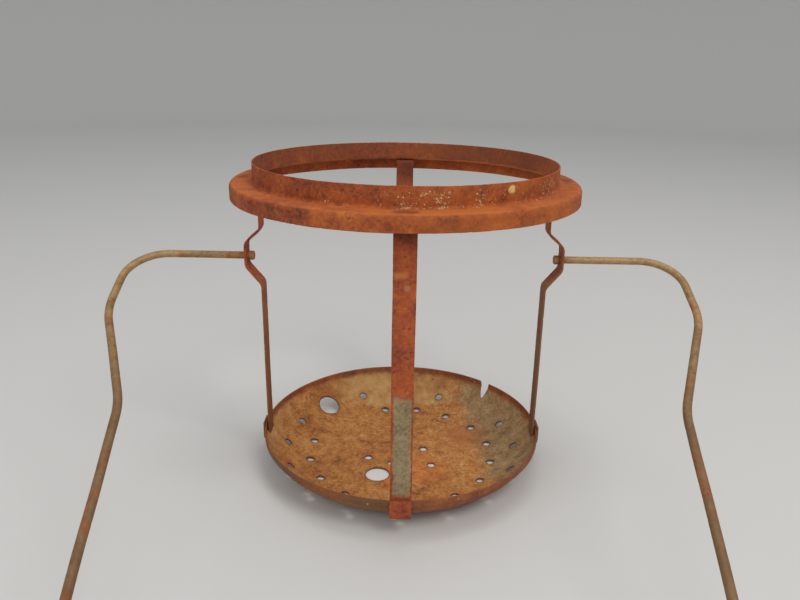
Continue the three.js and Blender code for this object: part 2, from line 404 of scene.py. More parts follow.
def panFinish(paint):
    finish = Finish("rusted pan")
    rust = finish.rustLayers(paint["tones"], 50, 1.25)
    rim = finish.rustLayers(paint["rim"], 60)
    colour = rust["colour"]
    # fine red flecks over the whole floor, and pale scale towards the back on the right
    flecks = finish.rise(finish.spots(1.7, 3, 0.65, 81) + (rust["mottle"] - 0.5) * 0.4, 0.52, 0.62)
    colour = finish.mixed(flecks * 0.34, colour, paint["fleck"])
    scale = finish.rise(finish.spots(2.4, 3, 0.7, 83), 0.54, 0.62)
    scale = scale * finish.near(paint["palePlace"], 6, 24, 14)
    colour = finish.mixed(scale * 0.6, colour, paint["pale"])
    ragged = (finish.spots(11, 5, 0.68, 71) - 0.5) * 34
    # worn bare down the right-hand wall, and tan along the top of the back wall
    bareAmount = finish.rise(finish.x + ragged + finish.y * 0.12, 49, 64)
    bareAmount = bareAmount * (1 - flecks * 0.3)
    bare = finish.ramp(paint["bare"], rust["patch"] * 0.5 + rust["grain"] * 0.5, 0.38, 0.12)
    tanAmount = finish.rise(finish.y + ragged, 62, 74) * (1 - finish.rise(abs(finish.x + 8), 34, 60))
    tanAmount = (tanAmount + finish.rise(-finish.x + ragged, 78, 88) * 0.6).atMost(1)
    tan = finish.ramp(paint["tan"], rust["mottle"] * 0.4 + rust["patch"] * 0.6, 0.36, 0.13)
    colour = finish.mixed(tanAmount * 0.8, colour, tan)
    colour = finish.mixed(bareAmount * 0.85, colour, bare)
    orange = finish.near(paint["orangePlace"], 11, 12, 18) * (rust["patch"] * 0.8 + 0.35)
    colour = finish.mixed(orange * 0.5, colour, paint["orange"])
    glow = finish.near(paint["glowPlace"], 5, 7, 12)
    colour = finish.mixed(glow * 0.65, colour, paint["orange"])
    # a redder stretch between the floor and the worn wall
    ruddy = finish.near(paint["rustPlace"], 9, 16, 22)
    colour = finish.mixed(ruddy * 0.45, colour, paint["rust"])
    # the band round the rim is redder
    rimAmount = finish.rise(finish.z + (finish.spots(7, 4, 0.6, 73) - 0.5) * 8, 18.2, 21.4)
    colour = finish.mixed(rimAmount * 0.85, colour, rim["colour"])
    # dark edges round the vents
    gap = finish.attribute("ventGap") + (rust["grain"] - 0.5) * 1.6
    edge = 1 - finish.rise(gap, 0.1, 1.3)
    halo = (1 - finish.rise(gap, 0.8, 4.5)) * finish.rise(rust["patch"], 0.4, 0.6)
    colour = finish.mixed(halo * 0.4, colour, paint["tones"][1])
    colour = finish.mixed(edge * 0.75, colour, paint["burnt"])
    # the outside of the wall is sooty
    outside = finish.attribute("outside")
    soot = outside * finish.rise(rust["mottle"], 0.3, 0.6)
    colour = finish.mixed(outside * 0.35, colour, paint["rim"][1])
    colour = finish.mixed(soot * 0.6, colour, paint["soot"])
    # redder along the front of the band, to the right
    redder = outside * finish.rise(finish.x, 0, 22) * (1 - finish.rise(finish.y, -40, 0))
    colour = finish.mixed(redder * 0.7, colour, rim["colour"])
    roughness = rust["grain"] * 0.25 + 0.68 - bareAmount * 0.15
    return finish.close(colour, roughness, bareAmount * 0.25, rust["height"])


strapPaint = {
    "tones": [(0.085, 0.021, 0.013), (0.22, 0.048, 0.02), (0.36, 0.074, 0.026),
              (0.45, 0.1, 0.026), (0.53, 0.16, 0.04)],
    "orange": (0.58, 0.19, 0.04),
    "bare": [(0.2, 0.155, 0.085), (0.32, 0.25, 0.135), (0.41, 0.335, 0.2)],
    "olive": (0.2, 0.12, 0.06),
    "dot": (0.34, 0.26, 0.14),
    "dotPlace": (1.7, -92.6, 153.6),
}


def strapFinish(paint, name, seed, worn=False, olive=0.0):
    finish = Finish(name)
    rust = finish.rustLayers(paint["tones"], seed, 1.15)
    colour = rust["colour"]
    metallic = 0.0
    roughness = rust["grain"] * 0.25 + 0.7
    # painted shadow: each strap darkens towards its top, where it runs in under the ring
    paintedShadow = finish.rise(finish.z + (rust["patch"] - 0.5) * 10, 174, 187)
    colour = finish.mixed(paintedShadow * 0.65, colour, paint["tones"][0])
    if olive:
        lower = (1 - finish.rise(finish.z, 60, 165)) * 0.2
        amount = finish.rise(rust["mottle"] + lower, 0.45, 0.62) * olive
        colour = finish.mixed(amount, colour, paint["olive"])
    if worn:
        ragged = (finish.spots(5, 4, 0.65, seed + 11) - 0.5)
        low = 1 - finish.rise(finish.z + ragged * 16, 88, 93)
        high = finish.rise(finish.z + ragged * 6, 26, 29)
        middle = 1 - finish.rise(abs(finish.x - 0.3) + ragged * 3.2, 4.7, 5.5)
        bareAmount = low * high * middle * (1 - rust["pits"] * 0.5)
        bare = finish.ramp(paint["bare"], rust["patch"] * 0.4 + rust["grain"] * 0.6, 0.38, 0.12)
        colour = finish.mixed(bareAmount * 0.92, colour, bare)
        level = 1 - finish.rise(abs(finish.z - 160.5) + ragged * 3.5, 0.5, 3.2)
        across = 1 - finish.rise(abs(finish.x + 2.4) + ragged * 4, 1.8, 5.2)
        colour = finish.mixed(level * across * 0.8, colour, paint["orange"])
        dot = finish.near(paint["dotPlace"], 0.5, 1.7, 3)
        colour = finish.mixed(dot * 0.55, colour, paint["dot"])
        metallic = bareAmount * 0.3
        roughness = roughness - bareAmount * 0.2
    return finish.close(colour, roughness, metallic, rust["height"])


bailPaint = {
    "zinc": [(0.2, 0.11, 0.045), (0.33, 0.195, 0.085), (0.44, 0.285, 0.135), (0.54, 0.375, 0.205)],
    "rust": [(0.085, 0.03, 0.016), (0.22, 0.07, 0.03), (0.36, 0.12, 0.04), (0.46, 0.19, 0.07)],
    "brown": (0.13, 0.062, 0.028),
}


def bailFinish(paint):
    finish = Finish("zinc wire")
    rust = finish.rustLayers(paint["rust"], 90)
    tone = rust["patch"] * 0.35 + rust["grain"] * 0.4 + rust["mottle"] * 0.25
    zinc = finish.ramp(paint["zinc"], tone, 0.36, 0.09)
    patches = finish.rise(finish.spots(13, 4, 0.6, 95) + (rust["grain"] - 0.5) * 0.4, 0.53, 0.62)
    atPivot = 1 - finish.rise(abs(finish.x) + (rust["patch"] - 0.5) * 14, 102, 111)
    patches = (patches + atPivot * 0.8).atMost(1)
    down = finish.rise(-finish.y, 35, 135)  # browner away from the pivots
    colour = finish.mixed(down * 0.55, zinc, paint["brown"])
    colour = finish.mixed(patches * 0.8, colour, rust["colour"])
    colour = finish.mixed(down * 0.3, colour, paint["brown"])
    roughness = patches * 0.25 + rust["grain"] * 0.2 + 0.48
    metallic = (1 - patches) * (1 - down * 0.6) * 0.35
    return finish.close(colour, roughness, metallic, rust["height"] * 0.55)


crustPaint = {"dark": (0.2, 0.06, 0.03), "main": (0.5, 0.2, 0.07), "pale": (0.72, 0.48, 0.24)}


def crustFinish(paint, name):
    finish = Finish(name)
    tone = finish.attribute("tone")
    fine = finish.spots(0.5, 3, 0.6, 7)
    stops = [(0.1, paint["dark"]), (0.5, paint["main"]), (0.95, paint["pale"])]
    colour = finish.add("ShaderNodeValToRGB", {"stops": stops}, {0: tone * 0.75 + fine * 0.3})
    return finish.close(colour, fine * 0.2 + 0.75, 0.0, fine * 0.1)


print("finishes mixed")


def sheetCorners(path, thickness, edge):
    # corners of a sheet's section round its middle line, with the bend radius at each
    points = [np.array(p[:2], float) for p in path]
    sides = []
    for sign in (-1, 1):
        side = []
        for i, point in enumerate(points):
            into = points[i] - points[i - 1] if i else points[1] - points[0]
            out = points[i + 1] - points[i] if i + 1 < len(points) else into
            into, out = into / np.linalg.norm(into), out / np.linalg.norm(out)
            along = (into + out) / np.linalg.norm(into + out)
            normal = np.array([-along[1], along[0]]) * sign
            place = point + normal * thickness / 2 / along.dot(out)
            turn = into[0] * out[1] - into[1] * out[0]  # + to the left
            atEnd = i in (0, len(points) - 1)
            radius = edge if atEnd else path[i][2] - np.sign(turn) * sign * thickness / 2
            side.append((place[0], place[1], radius))
        sides.append(side)
    return sides[0] + sides[1][::-1]


def spacedOut(corners, step, closed=True):
    # extra points along the straight runs, clear of the bends
    out = []
    count = len(corners)
    for i in range(count if closed else count - 1):
        a, b = corners[i], corners[(i + 1) % count]
        out.append(a)
        start, end = np.array(a[:-1], float), np.array(b[:-1], float)
        length = np.linalg.norm(end - start)
        along = (end - start) / length
        clearA, clearB = a[-1] * 1.15 + 0.05, b[-1] * 1.15 + 0.05
        free = length - clearA - clearB
        if free > 0.3:
            inner = max(1, int(round(free / step)))
            for k in range(inner + 1):
                out.append((*(start + along * (clearA + free * k / inner)), 0.0))
    if not closed:
        out.append(corners[-1])
    return out


ring = {
    "sheet": 1.1,
    "bend": 2.0,
    "edge": 0.38,  # rounding of the sheet's cut edges
    "collarRadius": 94.2,
    "flangeHeight": 196.0,
    "skirtBottom": 186.5,
    "steps": 620,
    "sectionStep": 1.1,
    "warp": 0.4,
    "scale": 0.16,
    "pits": 0.16,
    "weldRadius": 101.0,
    "weldDepth": 0.4,
    "weldReach": 2.6,
}


def turnedTree():
    board, given = newTree("turned section", {
        "Radius": "Float", "Steps": "Int", "Warp": "Float", "Scale": "Float", "Pits": "Float",
        "Welds": "Object", "Weld Depth": "Float", "Weld Reach": "Float", "Material": "Material"})
    section = roundedPath(board, given["Geometry"], 5)
    path = board.add("GeometryNodeCurvePrimitiveCircle", {"mode": "RADIUS"}, {
        "Resolution": given["Steps"], "Radius": given["Radius"]})
    body = board.add("GeometryNodeCurveToMesh", {}, {"Curve": path, "Profile Curve": section})
    welds = board.add("GeometryNodeObjectInfo", {}, {"Object": given["Welds"]}, "Geometry")
    away = board.add("GeometryNodeProximity", {"target_element": "POINTS"}, {0: welds}, "Distance")
    reach = away / given["Weld Reach"]
    dip = (1 - board.rise(reach, 0.25, 1)) * given["Weld Depth"]
    body = shift(board, body, board.add("ShaderNodeCombineXYZ", {}, {"Z": -dip}))
    body = weathered(board, body, given["Warp"], given["Scale"], given["Pits"], 2.0)
    return closeTree(board, body, given["Material"])


def buildRing():
    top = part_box("pot_ring")[1]
    skirt = top.x / mm - ring["sheet"] / 2
    collar = ring["collarRadius"] - ring["sheet"] / 2
    level = ring["flangeHeight"] - ring["sheet"] / 2
    middle = [(skirt, ring["skirtBottom"]), (skirt, level, ring["bend"]),
              (collar, level, ring["bend"]), (collar, top.z / mm)]
    corners = spacedOut(sheetCorners(middle, ring["sheet"], ring["edge"]), ring["sectionStep"])
    # the section lies in X and Y, from the collar's radius, and the sweep stands it up
    outline = [(r - collar, -h, 0, bend) for r, h, bend in corners[::-1]]
    outline = pathObject("ring section", outline, True)
    welds = bpy.data.meshes.new("welds")
    reach = ring["weldRadius"] * mm
    level = ring["flangeHeight"] * mm
    feet = [quarter * math.pi / 2 for quarter in range(4)]
    welds.from_pydata([(math.cos(a) * reach - math.sin(a) * side,
                        math.sin(a) * reach + math.cos(a) * side, level)
                       for a in feet for side in (-3 * mm, 3 * mm)], [], [])
    weldPoints = newObject("weld points", welds)
    piece = grow(turnedTree(), outline, {
        "Radius": collar * mm, "Steps": ring["steps"], "Warp": ring["warp"], "Scale": ring["scale"],
        "Pits": ring["pits"], "Welds": weldPoints, "Weld Depth": ring["weldDepth"] * mm,
        "Weld Reach": ring["weldReach"] * mm, "Material": ringFinish(ringPaint)}, "pressed_ring")
    spots = vertexPlaces(welds)
    gaps = np.min(np.linalg.norm(vertexPlaces(piece.data)[:, None] - spots[None], axis=2), axis=1) / mm
    piece.data.attributes.new("weldGap", "FLOAT", "POINT").data.foreach_set("value", gaps)
    discard(outline, weldPoints)
    settle(piece, "pot_ring", "stand")
    return piece


ringPiece = buildRing()
print("ring turned:", len(ringPiece.data.polygons), "faces")


pan = {
    "sheet": 0.9,
    "floorRadius": 57.0,
    "bandHeight": 4.0,
    "steps": 360,
    "step": 1.3,
    "vents": 16,
    "ventRadius": 2.6,
    "upperInset": 14.2,
    "lowerOutset": 7.0,
    "largeRadius": 8.0,
    "largePlace": 6,
    "burntPlace": 2,
    "burntEdge": [(-0.6, 11.2), (0.6, 9.5), (2.3, 7), (3.2, 4), (4, -1),  # along the rim, below the rim
                  (-4.3, -1), (-3.6, 2.5), (-3.3, 5.5), (-2.9, 8.5), (-2.3, 11)],
    "floorLarge": (33, -118),
    "floorVents": [(17, 15), (27, -38), (24, -160), (16, -112)],
    "slotInside": 90.78,
    "slotWidth": 13.3,
    "warp": 0.35,
    "scale": 0.13,
    "pits": 0.12,
    "seed": 4,
}


def panShape():
    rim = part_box("fuel_pan")[1]
    radius, depth = rim.x / mm, rim.z / mm
    foot = depth - pan["bandHeight"]
    reach = radius - pan["floorRadius"]
    arc = math.hypot(reach, foot) ** 2 / (2 * foot)
    insideArc = arc - pan["sheet"]
    end = math.atan2(reach, arc - foot)
    insideEnd = math.asin((reach - pan["sheet"]) / insideArc)
    return {"radius": radius, "depth": depth, "foot": foot, "arc": arc, "insideArc": insideArc,
            "end": end, "insideEnd": insideEnd, "insideFoot": arc - insideArc * math.cos(insideEnd)}


def wallPoint(shape, radius, swing):
    return pan["floorRadius"] + radius * math.sin(swing), shape["arc"] - radius * math.cos(swing)


def turnedPan(shape):
    floor, sheet, step = pan["floorRadius"], pan["sheet"], pan["step"]
    rings = [(r, 0.0) for r in np.linspace(0, floor, int(floor / 2.2))]
    count = int(shape["arc"] * shape["end"] / step)
    rings += [wallPoint(shape, shape["arc"], shape["end"] * k / count) for k in range(1, count + 1)]
    radius, depth = shape["radius"], shape["depth"]
    rings += [(radius, shape["foot"] + 1.3), (radius, depth - 1.4), (radius, depth - 0.25),
              (radius - 0.12, depth - 0.05), (radius - 0.3, depth), (radius - sheet + 0.3, depth),
              (radius - sheet + 0.1, depth - 0.06), (radius - sheet, depth - 0.25),
              (radius - sheet, depth - 1.4), (radius - sheet, shape["insideFoot"] + 1.1)]
    rings += [wallPoint(shape, shape["insideArc"], shape["insideEnd"] * k / count)
              for k in range(count, 0, -1)]
    rings += [(r, sheet) for r in np.linspace(floor, 0, int(floor / 1.5))]
    profile = np.array(rings) * mm
    steps = pan["steps"]
    angles = np.arange(steps) * 2 * math.pi / steps
    turn = np.stack([np.cos(angles), np.sin(angles)], 1)
    body = profile[1:-1]
    places = np.empty((len(body), steps, 3))
    places[..., :2] = body[:, None, :1] * turn[None]
    places[..., 2] = body[:, None, 1]
    places = np.vstack([places.reshape(-1, 3), [(0, 0, profile[0, 1])], [(0, 0, profile[-1, 1])]])
    rows = np.arange(len(body) * steps).reshape(len(body), steps)
    following = np.roll(rows, -1, axis=1)
    quads = np.stack([rows[:-1], following[:-1], following[1:], rows[1:]], -1).reshape(-1, 4)
    bottom, top = len(places) - 2, len(places) - 1
    caps = [(bottom, b, a) for a, b in zip(rows[0], following[0])]
    caps += [(top, a, b) for a, b in zip(rows[-1], following[-1])]
    mesh = bpy.data.meshes.new("pan blank")
    mesh.from_pydata(places.tolist(), [], quads.tolist() + [tuple(map(int, cap)) for cap in caps])
    mesh.update()
    return newObject("pan blank", mesh)


def ventList(shape):
    # each vent is [place, axis, radius]
    vents = []

    def onWall(radius, angle, size):
        lean = math.asin((radius - pan["floorRadius"]) / shape["arc"])
        height = shape["arc"] - math.sqrt(shape["arc"] ** 2 - (radius - pan["floorRadius"]) ** 2)
        turn = math.radians(angle)
        lateral = -math.sin(lean)
        vents.append(((radius * math.cos(turn), radius * math.sin(turn), height + pan["sheet"] / 2),
                      (lateral * math.cos(turn), lateral * math.sin(turn), math.cos(lean)), size))

    def onFloor(radius, angle, size):
        turn = math.radians(angle)
        place = (radius * math.cos(turn), radius * math.sin(turn), pan["sheet"] / 2)
        vents.append((place, (0, 0, 1), size))

    pitch = 360 / pan["vents"]
    for place in range(pan["vents"]):
        size = pan["largeRadius"] if place == pan["largePlace"] else pan["ventRadius"]
        if place != pan["burntPlace"]:
            onWall(shape["radius"] - pan["upperInset"], place * pitch, size)
        if place not in (pan["largePlace"], pan["largePlace"] - 1):
            onWall(pan["floorRadius"] + pan["lowerOutset"], (place + 0.5) * pitch, pan["ventRadius"])
    onFloor(*pan["floorLarge"], pan["largeRadius"])
    for radius, angle in pan["floorVents"]:
        onFloor(radius, angle, pan["ventRadius"])
    return vents


def prism(outline, depth, place, turn, name):
    # an outline across the radius, pushed outwards by depth from place, then turned round Z
    work = bmesh.new()
    near = [work.verts.new((0, y * mm, z * mm)) for y, z in outline]
    far = [work.verts.new((depth * mm, y * mm, z * mm)) for y, z in outline]
    work.faces.new(near)
    work.faces.new(far[::-1])
    for i in range(len(outline)):
        j = (i + 1) % len(outline)
        work.faces.new((near[j], near[i], far[i], far[j]))
    work.transform(Matrix.Rotation(turn, 4, "Z") @ Matrix.Translation((place * mm, 0, 0)))
    bmesh.ops.recalc_face_normals(work, faces=work.faces)
    bmesh.ops.triangulate(work, faces=work.faces)
    return fromWork(work, name)


def ragged(outline, step, amount, seed):
    random = np.random.default_rng(seed)
    out = []
    for i, start in enumerate(outline):
        end = outline[(i + 1) % len(outline)]
        count = max(1, int(math.dist(start, end) / step))
        for k in range(count):
            point = np.array(start) + (np.array(end) - np.array(start)) * k / count
            out.append(tuple(point + (random.uniform(-amount, amount, 2) if k else 0)))
    return out


def punchTree():
    board, given = newTree("punched sheet", {
        "Vents": "Object", "Depth": "Float", "Sides": "Int", "Cutouts": "Object", "Roughness": "Float",
        "Warp": "Float", "Scale": "Float", "Pits": "Float", "Material": "Material"})
    points = board.add("GeometryNodeObjectInfo", {}, {"Object": given["Vents"]}, "Geometry")
    axis = board.add("GeometryNodeInputNamedAttribute", {"data_type": "FLOAT_VECTOR"}, {"Name": "axis"})
    bore = board.add("GeometryNodeInputNamedAttribute", {"data_type": "FLOAT"}, {"Name": "bore"})
    punch = board.add("GeometryNodeMeshCylinder", {"fill_type": "NGON"}, {
        "Vertices": given["Sides"], "Radius": 1.0, "Depth": given["Depth"]})
    turn = board.add("FunctionNodeAlignRotationToVector", {"axis": "Z"}, {"Vector": axis})
    size = board.add("ShaderNodeCombineXYZ", {}, {0: bore, 1: bore, 2: 1.0})
    punches = board.add("GeometryNodeInstanceOnPoints", {}, {
        "Points": points, "Instance": punch, "Rotation": turn, "Scale": size})
    punches = board.add("GeometryNodeRealizeInstances", {}, {"Geometry": punches})
    place = board.add("GeometryNodeInputPosition")
    uneven = board.noise(place, 2.4, 1, 0.5, 0, 8).other("Color")
    uneven = board.vector("SUBTRACT", uneven, (0.5, 0.5, 0.5))
    punches = shift(board, punches, board.vector("SCALE", uneven, scale=given["Roughness"]))
    cutouts = board.add("GeometryNodeObjectInfo", {}, {"Object": given["Cutouts"]}, "Geometry")
    holed = cut(board, cut(board, given["Geometry"], punches), cutouts)
    body = weathered(board, holed, given["Warp"], given["Scale"], given["Pits"], 12.0)
    return closeTree(board, body, given["Material"])


def ventObject(vents, name):
    mesh = bpy.data.meshes.new(name)
    mesh.from_pydata([[c * mm for c in place] for place, axis, radius in vents], [], [])
    mesh.attributes.new("axis", "FLOAT_VECTOR", "POINT").data.foreach_set(
        "vector", [c for place, axis, radius in vents for c in axis])
    mesh.attributes.new("bore", "FLOAT", "POINT").data.foreach_set(
        "value", [radius * mm for place, axis, radius in vents])
    return newObject(name, mesh)


def joined(pieces):
    # one object from several, built without operators
    work = bmesh.new()
    for piece in pieces:
        work.from_mesh(piece.data)
    whole = fromWork(work, pieces[0].name)
    discard(*pieces)
    return whole


def buildPan():
    shape = panShape()
    vents = ventList(shape)
    half = pan["slotWidth"] / 2
    slotTop = shape["insideFoot"]
    slots = [prism([(-half, -1), (half, -1), (half, slotTop), (-half, slotTop)], 6, pan["slotInside"],
                   quarter * math.pi / 2, "slots") for quarter in range(4)]
    notch = [(along, shape["depth"] - below) for along, below in pan["burntEdge"]]
    turn = math.radians(pan["burntPlace"] * 360 / pan["vents"])
    notch = prism(ragged(notch, 0.8, 0.2, pan["seed"]), pan["upperInset"] + 4,
                  shape["radius"] - pan["upperInset"], turn, "notch")
    blank, ventPoints = turnedPan(shape), ventObject(vents, "pan vents")
    cutouts = joined([*slots, notch])
    piece = grow(punchTree(), blank, {
        "Vents": ventPoints, "Depth": 6 * mm, "Sides": 22, "Cutouts": cutouts, "Roughness": 0.5 * mm,
        "Warp": pan["warp"], "Scale": pan["scale"], "Pits": pan["pits"],
        "Material": panFinish(panPaint)}, "perforated_pan")
    discard(blank, ventPoints, cutouts)
    settle(piece, "fuel_pan", "stand")
    places = vertexPlaces(piece.data) / mm
    centres = np.array([vent[0] for vent in vents])
    radii = np.array([vent[2] for vent in vents])
    gaps = np.min(np.linalg.norm(places[:, None] - centres[None], axis=2) - radii[None], axis=1)
    across = np.hypot(places[:, 0], places[:, 1])
    # which side of the sheet's middle a point is on
    swing = np.hypot(across - pan["floorRadius"], places[:, 2] - shape["arc"])
    outside = np.where(across < pan["floorRadius"], places[:, 2] < pan["sheet"] / 2,
                       swing > shape["arc"] - pan["sheet"] / 2)
    outside |= across > shape["radius"] - pan["sheet"] / 2
    for name, values in (("ventGap", gaps), ("outside", outside.astype(float))):
        piece.data.attributes.new(name, "FLOAT", "POINT").data.foreach_set("value", values)
    return piece


panPiece = buildPan()
print("pan punched:", len(panPiece.data.polygons), "faces")


strap = {
    "width": 12.7,
    "sheet": 1.5,
    "edge": 0.45,
    "bend": 2.2,
    "radius": 91.83,
    "footEnd": 104.3,
    "footLevel": 193.85,
    "clinchRadius": 95.25,
    "clinchLevel": 13.25,
    "clinchBend": 1.7,
    "top": 25.0,
    "step": 0.7,
    "warp": 0.3,
    "scale": 0.14,
    "pits": 0.14,
}

jog = {"offset": 10.0, "above": 9.3, "below": 6.1, "rampAbove": 8.5, "rampBelow": 12.3,
       "bend": 6.0, "hole": 2.78}


def stripTree():
    board, given = newTree("strip along a path", {
        "Width": "Float", "Thickness": "Float", "Edge": "Float", "Step": "Float", "Holes": "Object",
        "Warp": "Float", "Scale": "Float", "Pits": "Float", "Material": "Material"})
    path = roundedPath(board, given["Geometry"], 12)
    path = board.add("GeometryNodeResampleCurve", {"mode": "LENGTH"}, {
        "Curve": path, "Length": given["Step"]})
    section = board.add("GeometryNodeCurvePrimitiveQuadrilateral", {"mode": "RECTANGLE"}, {
        "Width": given["Width"], "Height": given["Thickness"]})
    section = board.add("GeometryNodeFilletCurve", {"mode": "POLY"}, {
        "Curve": section, "Count": 2, "Radius": given["Edge"], "Limit Radius": True})
    section = board.add("GeometryNodeSubdivideCurve", {}, {"Curve": section, "Cuts": 4})
    body = board.add("GeometryNodeCurveToMesh", {}, {
        "Curve": path, "Profile Curve": section, "Fill Caps": True})
    holes = board.add("GeometryNodeObjectInfo", {}, {"Object": given["Holes"]}, "Geometry")
    body = cut(board, body, holes)
    body = weathered(board, body, given["Warp"], given["Scale"], given["Pits"], 22.0)
    return closeTree(board, body, given["Material"])


def holeCutter():
    # a round bar along the pivot line, through the jog
    work = bmesh.new()
    radius, out = jog["hole"] * mm, (strap["radius"] + jog["offset"]) * mm
    bmesh.ops.create_cone(work, cap_ends=True, segments=28, radius1=radius, radius2=radius, depth=8 * mm,
                          matrix=Matrix.Translation((out, 0, pivot.z))
                          @ Matrix.Rotation(math.pi / 2, 4, "Y"))
    return fromWork(work, "pivot hole")


def buildStrap(tree, name, node, turn, jogged, finish):
    height = pivot.z / mm
    radius = strap["radius"]
    corners = [(strap["footEnd"], strap["footLevel"], 0), (radius, strap["footLevel"], strap["bend"])]
    if jogged:
        out = radius + jog["offset"]
        corners += [(radius, height + jog["above"] + jog["rampAbove"], jog["bend"]),
                    (out, height + jog["above"], jog["bend"]),
                    (out, height - jog["below"], jog["bend"]),
                    (radius, height - jog["below"] - jog["rampBelow"], jog["bend"])]
    corners += [(radius, strap["clinchLevel"], strap["clinchBend"]),
                (strap["clinchRadius"], strap["clinchLevel"], strap["clinchBend"]),
                (strap["clinchRadius"], strap["top"], 0)]
    path = pathObject(name + " path", [(r, 0, z, bend) for r, z, bend in corners])
    hole = holeCutter() if jogged else newObject("no hole", bpy.data.meshes.new("no hole"))
    piece = grow(tree, path, {
        "Width": strap["width"] * mm, "Thickness": strap["sheet"] * mm, "Edge": strap["edge"] * mm,
        "Step": strap["step"] * mm, "Holes": hole, "Warp": strap["warp"], "Scale": strap["scale"],
        "Pits": strap["pits"], "Material": finish}, name)
    piece.data.transform(Matrix.Rotation(turn, 4, "Z"))
    discard(path, hole)
    settle(piece, node, "stand")
    return piece


pivot = Vector(frame["record"]["behaviour"]["joints"][0]["pos_m"])
stripShape = stripTree()
straps = [
    buildStrap(stripShape, "strap_front", "front_strap", -math.pi / 2, False,
               strapFinish(strapPaint, "worn strap", 110, worn=True)),
    buildStrap(stripShape, "strap_back", "back_strap", math.pi / 2, False,
               strapFinish(strapPaint, "back strap", 130)),
    buildStrap(stripShape, "strap_left", "left_strap", math.pi, True,
               strapFinish(strapPaint, "left strap", 150, olive=0.5)),
    buildStrap(stripShape, "strap_right", "right_strap", 0, True,
               strapFinish(strapPaint, "right strap", 170, olive=0.85)),
]
print("straps bent:", sum(len(piece.data.polygons) for piece in straps), "faces")


bail = {
    "wireRadius": 2.38,
    "sides": 20,
    "step": 1.4,
    "headRadius": 3.0,
    "headLength": 4.0,
    "headInside": 96.78,
    "shoulder": (176, 24),  # half width, bend
    "shoulderReach": 53,
    "waist": 148,
    "waistReach": 123,
    "kinkBend": 60,
    "lean": 4.9,
    "reach": 350,
    "warp": 0.5,
    "scale": 0.07,
    "pits": 0.08,
}


def wireTree():
    board, given = newTree("bent wire", {
        "Wire Radius": "Float", "Sides": "Int", "Step": "Float", "Heads": "Object",
        "Warp": "Float", "Scale": "Float", "Pits": "Float", "Material": "Material"})
    path = roundedPath(board, given["Geometry"], 24)
    path = board.add("GeometryNodeResampleCurve", {"mode": "LENGTH"}, {
        "Curve": path, "Length": given["Step"]})
    section = board.add("GeometryNodeCurvePrimitiveCircle", {"mode": "RADIUS"}, {
        "Resolution": given["Sides"], "Radius": given["Wire Radius"]})
    body = board.add("GeometryNodeCurveToMesh", {}, {
        "Curve": path, "Profile Curve": section, "Fill Caps": True})
    heads = board.add("GeometryNodeObjectInfo", {}, {"Object": given["Heads"]}, "Geometry")
    union = board.add("GeometryNodeMeshBoolean", {"operation": "UNION", "solver": "MANIFOLD"}, {
        "Mesh 2": body})
    board.tree.links.new(heads.socket, union.node.inputs["Mesh 2"])
    body = weathered(board, union, given["Warp"], given["Scale"], given["Pits"], 32.0)
    return closeTree(board, body, given["Material"])


def headMesh():
    # a hammered head on each end: a rounded barrel with a slightly domed face
    inside, radius, length = bail["headInside"], bail["headRadius"], bail["headLength"]
    profile = [(radius * 0.5, 0.02), (radius * 0.78, 0.16), (radius * 0.93, 0.45), (radius, 0.95),
               (radius, length * 0.5), (radius * 0.99, length - 0.9), (radius * 0.92, length - 0.4),
               (radius * 0.8, length - 0.1), (radius * 0.6, length)]
    work = bmesh.new()
    segments = 26
    for sign in (1, -1):
        rows = []
        for r, along in profile:
            rows.append([work.verts.new((
                sign * (inside + along) * mm,
                r * mm * math.cos(2 * math.pi * k / segments),
                pivot.z + r * mm * math.sin(2 * math.pi * k / segments))) for k in range(segments)])
        for upper, lower in zip(rows, rows[1:]):
            for k in range(segments):
                work.faces.new((upper[k], upper[k - 1], lower[k - 1], lower[k]))
        work.faces.new(rows[0])
        work.faces.new(rows[-1][::-1])
    bmesh.ops.recalc_face_normals(work, faces=work.faces)
    bmesh.ops.triangulate(work, faces=[face for face in work.faces if len(face.verts) > 4])
    return fromWork(work, "heads")


def buildBail():
    lean = math.radians(bail["lean"])
    half, bend = bail["shoulder"]
    legDistance = bail["waist"] * math.cos(lean) + bail["waistReach"] * math.sin(lean)
    centre = (bail["reach"] - legDistance) / (1 - math.sin(lean))
    radius = bail["reach"] - centre
    corners = [(bail["headInside"] + 0.8, 0, 0), (half, 0, bend),
               (half, bail["shoulderReach"], bail["kinkBend"]),
               (bail["waist"], bail["waistReach"], bail["kinkBend"])]
    steps = 90
    arch = [(radius * math.cos(swing), centre + radius * math.sin(swing), 0)
            for swing in (lean + (math.pi - 2 * lean) * k / steps for k in range(steps + 1))]
    flat = corners + arch + [(-x, y, b) for x, y, b in corners[::-1]]
    swing = math.asin((pivot.z / mm - bail["wireRadius"]) / bail["reach"])
    points = [(x, -y * math.cos(swing), pivot.z / mm - y * math.sin(swing), b) for x, y, b in flat]
    path, heads = pathObject("bail path", points), headMesh()
    piece = grow(wireTree(), path, {
        "Wire Radius": bail["wireRadius"] * mm, "Sides": bail["sides"], "Step": bail["step"] * mm,
        "Heads": heads, "Warp": bail["warp"], "Scale": bail["scale"], "Pits": bail["pits"],
        "Material": bailFinish(bailPaint)}, "wire_bail")
    discard(path, heads)
    settle(piece, "bail_handle", "bail", 50)
    return piece


bailPiece = buildBail()
print("bail bent:", len(bailPiece.data.polygons), "faces")


